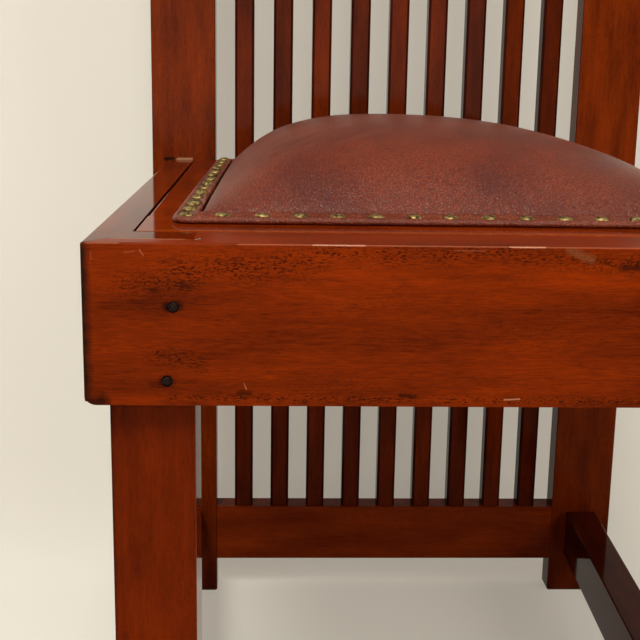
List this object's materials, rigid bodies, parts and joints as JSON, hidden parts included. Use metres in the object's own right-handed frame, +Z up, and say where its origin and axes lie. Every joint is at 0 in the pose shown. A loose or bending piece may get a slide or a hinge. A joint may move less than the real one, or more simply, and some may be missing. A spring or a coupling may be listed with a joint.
{
  "type": "high_back_dining_chair",
  "caption": "High-back dining chair in red mahogany with a slatted back from floor rail to crest, deep pegged front rail and a drop-in leather seat with brass nails.",
  "frame": {"origin": "centre of the chair's outline on the floor", "axes": "+X to the sitter's left as the chair is seen from the front, right side of the view; +Y to the back; +Z up"},
  "size_m": [0.45, 0.524, 1.22],
  "materials": {
    "mahogany": "french-polished red mahogany, worn on the arrises",
    "mahogany_slip": "polished red mahogany",
    "softwood": "sawn and planed, unfinished",
    "dark_peg": "dark end grain",
    "steel": "dull wood screws",
    "webbing": "woven jute",
    "hessian": "plain jute cloth",
    "stuffing": "curled hair",
    "leather": "oxblood grained leather, semi-gloss",
    "brass": "aged brass"
  },
  "bodies": {
    "frame": {"front_rail": "mahogany", "side_rail_left": "mahogany", "side_rail_right": "mahogany", "rear_seat_rail": "mahogany", "front_leg_left": "mahogany", "front_leg_right": "mahogany", "side_stretcher_left": "mahogany", "side_stretcher_right": "mahogany", "rear_post_left": "mahogany", "rear_post_right": "mahogany", "lower_back_rail": "mahogany", "crest_rail": "mahogany", "slat_1": "mahogany", "slat_2": "mahogany", "slat_3": "mahogany", "slat_4": "mahogany", "slat_5": "mahogany", "slat_6": "mahogany", "slat_7": "mahogany", "slat_8": "mahogany", "slat_9": "mahogany", "front_ledger": "softwood", "side_ledger_left": "softwood", "side_ledger_right": "softwood", "front_corner_block_left": "softwood", "front_corner_block_right": "softwood", "rear_corner_block_left": "softwood", "rear_corner_block_right": "softwood", "front_rail_pegs": "dark_peg", "ledger_screws": "steel"},
    "seat": {"slip_frame_front": "mahogany_slip", "slip_frame_rear": "mahogany_slip", "slip_frame_side_left": "mahogany_slip", "slip_frame_side_right": "mahogany_slip", "seat_webbing": "webbing", "seat_hessian": "hessian", "seat_stuffing": "stuffing", "leather_cover": "leather", "leather_edge_roll": "leather", "brass_nails": "brass"}
  },
  "joints": [
    {"name": "seat_lift", "type": "slide", "parent": "frame", "child": "seat", "axis": [0, 0, 1], "range_m": [0, 0.12]}
  ]
}
